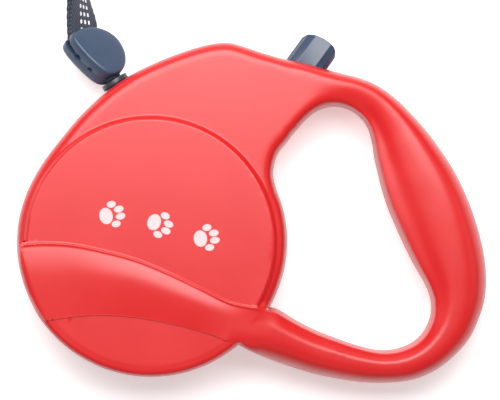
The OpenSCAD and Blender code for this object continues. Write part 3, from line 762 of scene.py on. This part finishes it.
strap_rows = even_points(open_curve(STRAP, 10), 0.5)
strap_p, strap_w, strap_n = strap_frames(strap_rows)
strap_v = np.concatenate([[0], np.cumsum(np.linalg.norm(np.diff(strap_p, axis=0), axis=1))])
tape = web_ring(TAPE_W, TAPE_T)
strap = web_mesh("strap_tape", [(strap_p, strap_w, strap_n, tape, side * LAYER) for side in (1, -1)], strap_v)


def webbing_material():
    """Dark woven tape with broken reflective dashes, laid out on the tape's own UVs in millimetres."""
    m = Mat("webbing_navy")
    uv = m.node("ShaderNodeUVMap", uv_map="tape")
    x, y, _ = m.split(uv.outputs[0])
    # diagonal twill over narrow warp yarns
    right = m.math("SINE", m.math("ADD", m.math("MULTIPLY", x, 5.6), m.math("MULTIPLY", y, 4.6)))
    left = m.math("SINE", m.math("SUBTRACT", m.math("MULTIPLY", x, 5.6), m.math("MULTIPLY", y, 4.6)))
    twill = m.math("MAXIMUM", right, m.math("MULTIPLY", left, 0.8))
    yarn = m.math("SINE", m.math("MULTIPLY", x, 2 * math.pi / 0.42))
    weave = m.math("ADD", m.math("MULTIPLY", twill, 0.6), m.math("MULTIPLY", yarn, 0.4))
    weave = m.span(weave, -1, 1, 0, 1)
    fuzz = m.noise(2300, 3, 0.7)
    height = m.math("ADD", weave, m.math("MULTIPLY", fuzz, 0.5))
    # three columns of reflective dashes
    dashes = None
    for cx, shift in ((-1.3, 0.0), (0.4, 0.08), (2.1, 0.16)):
        across = m.span(m.math("ABSOLUTE", m.math("SUBTRACT", x, cx)), 0.3, 0.46, 1, 0)
        phase = m.math("FRACT", m.math("ADD", m.math("DIVIDE", y, REPEAT), shift))
        along = m.span(m.math("ABSOLUTE", m.math("SUBTRACT", phase, 0.5)), 0.2, 0.27, 1, 0)
        dash = m.math("MULTIPLY", across, along)
        dashes = dash if dashes is None else m.math("MAXIMUM", dashes, dash)
    cover = m.math("ADD", m.math("MULTIPLY", weave, 0.6), m.math("MULTIPLY", fuzz, 0.6))
    broken = m.span(cover, 0.25, 0.6, 0.15, 1)
    dashes = m.math("MULTIPLY", dashes, broken)
    dark = m.mix(m.span(weave, 0.45, 0.95, 0, 1), (0.002, 0.003, 0.007), (0.07, 0.085, 0.13))
    worn = m.mix(m.span(m.noise(90, 3), 0.45, 0.75, 0, 0.35), dark, (0.03, 0.034, 0.048))
    m.set(Base_Color=m.mix(dashes, worn, (0.78, 0.8, 0.82)),
          Roughness=m.span(dashes, 0, 1, 0.78, 0.42), Normal=m.bump(height, 0.6, 0.00012))
    m.set(Sheen_Weight=0.08, Sheen_Roughness=0.5)
    return m.mat


webbing = webbing_material()
finish_piece(strap, webbing, "lead", "webbing", "strap")

# sewn end round the eye's bar: the tape runs round the bar from one layer to the other
HOOK_Y, HOOK_Z, EYE_X = 129.5, 4.3, 36.0
TURN_R, TURN_HALF, TURN_ROWS = 2.3, 155, 60
turn_a = np.radians(np.linspace(TURN_HALF, -TURN_HALF, TURN_ROWS))
loop_n = np.stack([np.cos(turn_a), np.zeros(TURN_ROWS), np.sin(turn_a)], axis=1)
loop_c = np.array([EYE_X, HOOK_Y, HOOK_Z]) + TURN_R * loop_n
loop_w = np.tile([0.0, 1.0, 0.0], (TURN_ROWS, 1))
strap_loop = web_mesh("strap_sewn_loop", [(loop_c, loop_w, loop_n, web_ring(5.9, 0.62), 0.0)],
                      np.linspace(0, TURN_R * math.radians(2 * TURN_HALF), TURN_ROWS))
finish_piece(strap_loop, webbing, "lead", "webbing", "strap_loop")


def capsule(a, b, r, sides=8):
    """Vertices and faces of a short rounded thread between two points in millimetres."""
    a, b = Vector(a), Vector(b)
    d = (b - a).normalized()
    u = d.orthogonal().normalized()
    v = d.cross(u)
    stops = [(-0.9, 0.25), (-0.6, 0.8), (0, 1), (1, 1), (1.6, 0.8), (1.9, 0.25)]
    turns = [u * math.cos(2 * math.pi * j / sides) + v * math.sin(2 * math.pi * j / sides) for j in range(sides)]
    verts = []
    for s, k in stops:
        c = a + d * s * r if s <= 0 else b + d * (s - 1) * r
        verts += [tuple((c + w * r * k) * MM) for w in turns]
    return verts, tube_faces(len(stops), sides)


def threads(name, runs, r, mat, body, slot):
    """One mesh of thread stitches; a run is a pair of end points."""
    verts, faces = [], []
    for a, b in runs:
        v, f = capsule(a, b, r)
        faces += [tuple(len(verts) + k for k in q) for q in f]
        verts += v
    return finish_piece(new_object(name, verts, faces, sharp=None), mat, body, slot)


def at_strap(s, across, side):
    """A point on a face of the strap, s millimetres along it."""
    i = min(int(np.searchsorted(strap_v, s)), len(strap_v) - 1)
    return strap_p[i] + strap_w[i] * across + strap_n[i] * side * (LAYER + TAPE_T + 0.02)


thread = moulded("thread_grey", (0.16, 0.17, 0.19), 0.75, 0.6, speck=0.2).mat
# a sewn box with a cross near the strap's end, on both faces
end_s = strap_v[-1]
box_s = end_s - 15
runs = []
for side in (1, -1):
    for across in (-4.4, 4.4):
        runs += [(at_strap(s, across, side), at_strap(s + 1.3, across, side))
                 for s in np.arange(box_s, end_s - 3.5, 1.9)]
    for s in (box_s - 0.2, end_s - 3):
        runs += [(at_strap(s, x, side), at_strap(s, x + 1.2, side)) for x in np.arange(-4.2, 3.4, 1.85)]
    for k in range(5):
        for q in (1, -1):
            runs.append([at_strap(box_s + 11.6 * f, q * (-4 + 8 * f), side) for f in (k / 5, (k + 0.7) / 5)])
threads("strap_stitches", runs, 0.19, thread, "lead", "webbing")

# ---------------------------------------------------------------- coil springs as swept wire
spring_mat = metal("spring_wire", (0.45, 0.46, 0.48), 0.25, 0.4, scale=1200).mat


def coil_spring(name, node, r, wire, turns, x0, x1, matrix):
    """A spring along X from x0 to x1, set in place by the matrix, standing in for the CAD node."""
    a = np.linspace(0, 2 * math.pi * turns, turns * 20 + 1)
    out = np.stack([np.zeros(len(a)), np.cos(a), np.sin(a)], axis=1)
    line = np.stack([x0 + (x1 - x0) * a / a[-1], r * out[:, 1], r * out[:, 2]], axis=1)
    t = np.gradient(line, axis=0)
    side = np.cross(t / np.linalg.norm(t, axis=1)[:, None], out)
    verts = [matrix @ Vector((line[i] + wire * (math.cos(b) * out[i] + math.sin(b) * side[i])) * MM)
             for i in range(len(a)) for b in np.linspace(0, 2 * math.pi, 8, endpoint=False)]
    obj = new_object(name, verts, tube_faces(len(a), 8), sharp=60)
    obj.data.materials.append(spring_mat)
    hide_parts(node)
    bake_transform(obj)
    return obj


coil_spring("brake_coil", "brake_spring", 1.8, 0.25, 6, 58.35, 67.2, AT_PRESS)
hook_coil = coil_spring("hook_coil", "hook_spring", 1.45, 0.25, 7, 61.8, 73.6, frame_matrix((0, HOOK_Y, HOOK_Z), 0))

nodes = frame["nodes"]

# ---------------------------------------------------------------- housing shells
red_front = shell_material("red_plastic_front", True)
red_rear = shell_material("red_plastic_rear", False)
finish_piece(shell("shell_front", True), red_front, "housing", "red_plastic", "front_shell")
finish_piece(shell("shell_rear", False), red_rear, "housing", "red_plastic", "rear_shell")

# ---------------------------------------------------------------- stopper block
# outline of the block, its edge as inset and share of the half thickness, and that half thickness
BLOCK_LINE = [[-10.4, -0.8], [-10.1, 1.6], [-9, 4.1], [-7, 5.6], [-3.2, 6.5], [2, 6.7], [7, 6.3], [9.8, 5.3],
              [10.8, 3.2], [10.1, -0.8], [8.4, -4.6], [5.6, -7.6], [2.2, -9.4], [-1.6, -9.7], [-6, -8], [-9.2, -4.6]]
BLOCK_EDGE = [(0.3, 0), (0.04, 0.02), (0, 0.06), (0, 0.45), (0.03, 0.66), (0.12, 0.78), (0.3, 0.865),
              (0.55, 0.915), (0.9, 0.945), (1.6, 0.966), (2.6, 0.98), (3.8, 0.99), (5.2, 1)]
BLOCK_HALF_T = 4.7


def moved(verts, matrix):
    """Points in millimetres brought from one frame into another."""
    return [tuple((matrix @ (Vector(v) * MM)) / MM) for v in verts]


def cutter(name, verts, faces):
    """A closed cutting solid from points in millimetres."""
    obj = new_object(name, [tuple(c * MM for c in v) for v in verts], faces, rounded=False)
    bm = bmesh.new()
    bm.from_mesh(obj.data)
    bmesh.ops.recalc_face_normals(bm, faces=bm.faces)
    bm.to_mesh(obj.data)
    bm.free()
    return obj


def box_verts(x0, x1, y0, y1, z0, z1):
    """Corners of a box, in the order that BOX_FACES takes them."""
    return [(x, y, z) for x in (x0, x1) for y in (y0, y1) for z in (z0, z1)]


BOX_FACES = [(0, 1, 3, 2), (4, 6, 7, 5), (0, 4, 5, 1), (2, 3, 7, 6), (0, 2, 6, 4), (1, 5, 7, 3)]


def rod(axis, centre, r, lo, hi, sides=40):
    """Points and faces of a rod along an axis: 0 for X, 1 for Y, 2 for Z."""
    verts = []
    for s in (lo, hi):
        for k in range(sides):
            a = 2 * math.pi * k / sides
            p = [0.0, 0.0, 0.0]
            p[axis] = s
            p[(axis + 1) % 3] = centre[0] + r * math.cos(a)
            p[(axis + 2) % 3] = centre[1] + r * math.sin(a)
            verts.append(tuple(p))
    return verts, tube_faces(2, sides)


def carve(obj, cutters):
    """Cuts the cutters out of a piece and removes them."""
    for c in cutters:
        mod = obj.modifiers.new("cut", "BOOLEAN")
        mod.operation = "DIFFERENCE"
        mod.solver = "EXACT"
        mod.object = c
    bpy.context.view_layer.update()
    mesh = bpy.data.meshes.new_from_object(obj.evaluated_get(bpy.context.evaluated_depsgraph_get()))
    obj.modifiers.clear()
    obj.data = mesh
    for c in cutters:
        bpy.data.objects.remove(c)


def block_half(name, sign):
    """The stopper's front (sign 1) or back (sign -1) half, with its mouth, holes and recess."""
    line = closed_curve(BLOCK_LINE, 8)
    m = len(line)
    verts = []
    for d, k in BLOCK_EDGE:
        r = np.linalg.norm(line, axis=1)[:, None]
        q = line * (r - d) / r
        verts += [(x * MM, y * MM, sign * BLOCK_HALF_T * k * MM) for x, y in q]
    faces = tube_faces(len(BLOCK_EDGE), m)
    if sign < 0:
        faces = [f[::-1] for f in faces]
    obj = new_object(name, verts, faces)
    cuts = [cutter("mouth", box_verts(1.5, 12, -8, 4.6, -1.9, 1.9), BOX_FACES),
            cutter("pin_hole", *rod(1, (0, 3.5), 1.25, 4.2, 9)),
            cutter("dimple", *rod(1, (0, -2.5), 0.95, 5.5, 9))]
    # recess along the seam from the pin hole to the strap's end
    recess = [(3.6, 0.5), (5, 0.8), (6.6, 1.15), (8.4, 1.3), (9.8, 1.7), (11.6, 2.1), (11.6, -1.4),
              (9.6, -1.2), (7.9, -1.25), (6, -0.95), (4.8, -0.8), (3.6, -0.5)]
    cuts.append(cutter("side_recess", [(x, y, z) for y in (3.6, 8.5) for x, z in recess],
                       tube_faces(2, len(recess))))
    # room for the strap as it turns out of the mouth, and for the bumper
    to_block = AT_BLOCK.inverted()
    strap_start = frame_matrix(STRAP[0][:3], 96, STRAP[0][3])
    v = moved(box_verts(-1, 9, -6.4, 6.4, -1.9, 1.9), to_block @ strap_start)
    cuts.append(cutter("strap_room", v, BOX_FACES))
    v, f = rod(0, (0, 0), 3.1, 0, 4.4)
    cuts.append(cutter("bumper_room", moved(v, to_block @ AT_EXIT), f))
    carve(obj, cuts)
    obj.data.shade_smooth()
    obj.data.set_sharp_from_angle(angle=math.radians(32))
    obj.data.transform(AT_BLOCK)
    return obj


block_mat = moulded("block_slate", (0.034, 0.058, 0.105), 0.42, 0.32, grain=0.00003, speck=0.16).mat
finish_piece(block_half("block_front", 1), block_mat, "lead", "block_plastic", "stopper_front")
finish_piece(block_half("block_back", -1), block_mat, "lead", "block_plastic", "stopper_back")

# ---------------------------------------------------------------- cord between the reel and the stopper
# route of the cord inside the housing, and its radius
CORD = [[20.2, 27.6], [13, 32.9], [5.8, 38.2], [-1.5, 43.5], [-6, 47], [-8.8, 49.7], [-10.8, 52.5]]
CORD_R = 1.22


def braid_material():
    """Braided cord: two sets of strands wound against each other about the cord's exit line."""
    m = Mat("cord_braid")
    shifted = m.node("ShaderNodeVectorMath", operation="SUBTRACT")
    m.join(m.coord(), shifted.inputs[0])
    shifted.inputs[1].default_value = Vector((*EXIT, PARTING)) * MM
    turned = m.node("ShaderNodeVectorRotate", rotation_type="Z_AXIS")
    m.join(shifted.outputs[0], turned.inputs["Vector"])
    turned.inputs["Angle"].default_value = math.radians(-EXIT_TURN)
    x, y, z = m.split(turned.outputs[0])
    angle = m.math("ARCTAN2", z, y)
    along = m.math("MULTIPLY", x, 2 * math.pi / 0.0022)
    right = m.math("SINE", m.math("ADD", m.math("MULTIPLY", angle, 6.0), along))
    left = m.math("SINE", m.math("SUBTRACT", m.math("MULTIPLY", angle, 6.0), along))
    plait = m.span(m.math("MULTIPLY", right, left), -1, 1, 0, 1)
    fuzz = m.noise(4200, 3, 0.7)
    m.set(Base_Color=m.mix(plait, (0.006, 0.008, 0.014), (0.03, 0.036, 0.055)),
          Roughness=m.span(fuzz, 0.3, 0.7, 0.6, 0.85),
          Normal=m.bump(m.math("ADD", plait, m.math("MULTIPLY", fuzz, 0.4)), 0.7, 0.0002))
    m.set(Sheen_Weight=0.2)
    return m.mat


def round_tube(name, line, r, sides=24):
    """A tube of radius r along a line that lies about level."""
    line = np.array(line, float)
    t = np.gradient(line, axis=0)
    t /= np.linalg.norm(t, axis=1)[:, None]
    u = np.cross((0, 0, 1), t)
    u /= np.linalg.norm(u, axis=1)[:, None]
    v = np.cross(t, u)
    verts = [tuple((line[i] + r * (math.cos(a) * u[i] + math.sin(a) * v[i])) * MM)
             for i in range(len(line)) for a in np.linspace(0, 2 * math.pi, sides, endpoint=False)]
    return new_object(name, verts, tube_faces(len(line), sides), sharp=60)


braid = braid_material()
OUT = np.array([math.cos(math.radians(EXIT_TURN)), math.sin(math.radians(EXIT_TURN))])
inner_run = even_points(open_curve(CORD, 6), 0.8)
outer_run = np.array([EXIT + OUT * s for s in (0.0, 1.0, 1.6, 5.6, 6.2)])
cord_line = [(x, y, PARTING) for x, y in np.vstack([inner_run, outer_run])]
cord = round_tube("cord_braided", cord_line, CORD_R)
cord.data.materials.append(braid)
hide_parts("cord_lead")
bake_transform(cord)


# ---------------------------------------------------------------- finishes of the CAD pieces that stay
def dress(name, mat, bevel=0.0, angle=30, sharp=30):
    """Material and shading of a CAD piece, with its edges over the angle rounded by the bevel."""
    obj = nodes[name]
    obj.data.materials.clear()
    obj.data.materials.append(mat)
    obj.data.shade_smooth()
    obj.data.set_sharp_from_angle(angle=math.radians(sharp))
    if bevel:
        weld = obj.modifiers.new("weld", "WELD")
        weld.merge_threshold = 0.000002
        flat = obj.modifiers.new("planar", "DECIMATE")
        flat.decimate_type = "DISSOLVE"
        flat.angle_limit = math.radians(1.5)
        edge = obj.modifiers.new("bevel", "BEVEL")
        edge.width = bevel * MM
        edge.segments = 3
        edge.limit_method = "ANGLE"
        edge.angle_limit = math.radians(angle)
        edge.harden_normals = True


button_mat = moulded("button_slate", (0.026, 0.044, 0.085), 0.36, 0.26, grain=0.00002, speck=0.14).mat
bush_mat = moulded("bush_dark", (0.022, 0.028, 0.042), 0.45, 0.32, speck=0.15).mat
bumper_mat = moulded("bumper_rubber", (0.015, 0.017, 0.022), 0.8, 0.65, grain=0.00005, speck=0.2).mat
reel_mat = moulded("reel_black", (0.02, 0.022, 0.026), 0.45, 0.35, speck=0.15).mat
chrome = metal("chrome_plate", (0.72, 0.73, 0.75), 0.12, 0.28, scale=700, depth=0.000008).mat
steel = metal("steel_brushed", (0.58, 0.59, 0.61), 0.25, 0.45, stretch=(1, 6, 6), scale=600).mat
screw_mat = metal("screw_zinc", (0.55, 0.56, 0.58), 0.3, 0.48, scale=1500).mat
dress("brake_button", button_mat, bevel=0.55, angle=12)
dress("nozzle_ring", bush_mat, bevel=0.22, angle=35)
dress("stopper_bumper", bumper_mat, bevel=0.3, angle=35)
dress("cord_knot", braid)
dress("cord_winding", braid)
for name in ("reel_drum", "reel_flange", "spring_cover"):
    dress(name, reel_mat)
for name in ("reel_axle", "brake_slider", "stopper_pin"):
    dress(name, steel)
dress("power_spring", spring_mat, sharp=60)
dress("housing_screws", screw_mat)
for name in ("swivel_eye", "hook_body", "hook_bolt", "hook_knob"):
    dress(name, chrome, bevel=0.25, angle=40)

# ---------------------------------------------------------------- floor
floor_mat = Mat("floor_white")
tone = floor_mat.mix(floor_mat.noise(3, 2), (0.86, 0.86, 0.86), (0.88, 0.88, 0.88))
floor_mat.set(Base_Color=tone, Roughness=0.85, Emission_Color=(1.0, 1.0, 1.0), Emission_Strength=0.42)
FLOOR_HALF, FLOOR_Z = 6, -0.0002
corners = ((-1, -1), (1, -1), (1, 1), (-1, 1))
floor = new_object("floor", [(x * FLOOR_HALF, y * FLOOR_HALF, FLOOR_Z) for x, y in corners],
                   [(0, 1, 2, 3)], rounded=False)
floor.data.materials.append(floor_mat.mat)

bpy.context.view_layer.update()
